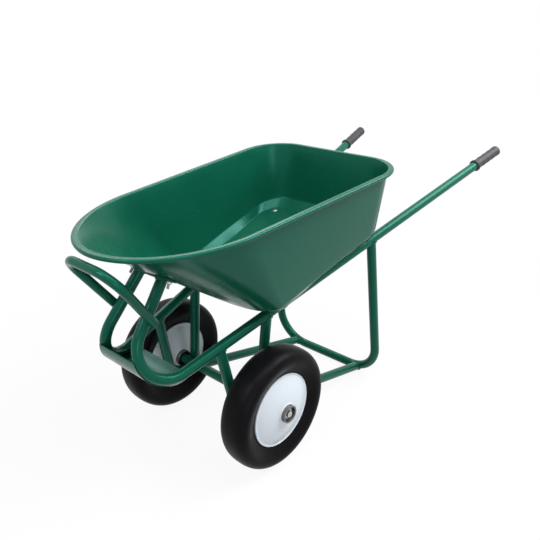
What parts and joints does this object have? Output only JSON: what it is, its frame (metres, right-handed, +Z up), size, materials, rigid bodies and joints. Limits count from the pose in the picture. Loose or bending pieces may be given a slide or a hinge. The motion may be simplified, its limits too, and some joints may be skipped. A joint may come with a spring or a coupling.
{
  "type": "concrete wheelbarrow",
  "caption": "Concrete wheelbarrow: deep pressed steel tub with a rolled rim on a bent tube frame, a wheel at each side on a fixed axle, and straight handles with grips.",
  "frame": {"origin": "middle of the bounding box on the ground, under the tub", "axes": "+X towards the nose, +Y to the left side, +Z up"},
  "size_m": [1.6672, 0.6688, 0.8313],
  "materials": {
    "green_paint": "gloss",
    "white_paint": "gloss",
    "tyre_rubber": "satin",
    "grip_rubber": "matte",
    "zinc": "zinc plated",
    "bare_steel": "satin"
  },
  "bodies": {
    "frame": {"tub": "green_paint", "left_rail": "green_paint", "right_rail": "green_paint", "nose_hoop": "green_paint", "nose_plate": "green_paint", "nose_strap": "green_paint", "front_strap": "green_paint", "rear_strap": "green_paint", "left_cradle": "green_paint", "right_cradle": "green_paint", "left_rear_strut": "green_paint", "right_rear_strut": "green_paint", "rear_stand": "green_paint", "axle_tube": "green_paint", "axle_rod": "zinc", "left_grip": "grip_rubber", "right_grip": "grip_rubber", "left_axle_spacer": "zinc", "right_axle_spacer": "zinc", "left_axle_washer": "zinc", "right_axle_washer": "zinc", "left_cotter_pin": "bare_steel", "right_cotter_pin": "bare_steel", "left_rear_bolt": "zinc", "left_rear_nut": "zinc", "left_front_bolt": "zinc", "left_front_nut": "zinc", "left_nose_bolt": "zinc", "left_nose_nut": "zinc", "right_rear_bolt": "zinc", "right_rear_nut": "zinc", "right_front_bolt": "zinc", "right_front_nut": "zinc", "right_nose_bolt": "zinc", "right_nose_nut": "zinc"},
    "left_wheel": {"left_tyre": "tyre_rubber", "left_rim": "white_paint", "left_outer_disc": "white_paint", "left_inner_disc": "white_paint", "left_hub": "zinc", "left_outer_bearing": "bare_steel", "left_inner_bearing": "bare_steel"},
    "right_wheel": {"right_tyre": "tyre_rubber", "right_rim": "white_paint", "right_outer_disc": "white_paint", "right_inner_disc": "white_paint", "right_hub": "zinc", "right_outer_bearing": "bare_steel", "right_inner_bearing": "bare_steel"}
  },
  "joints": [
    {"name": "left_wheel_spin", "type": "hinge", "parent": "frame", "child": "left_wheel", "pos_m": [0.39698, 0.2353, 0.191], "axis": [0, 1, 0], "continuous": true},
    {"name": "right_wheel_spin", "type": "hinge", "parent": "frame", "child": "right_wheel", "pos_m": [0.39698, -0.2353, 0.191], "axis": [0, 1, 0], "continuous": true}
  ]
}
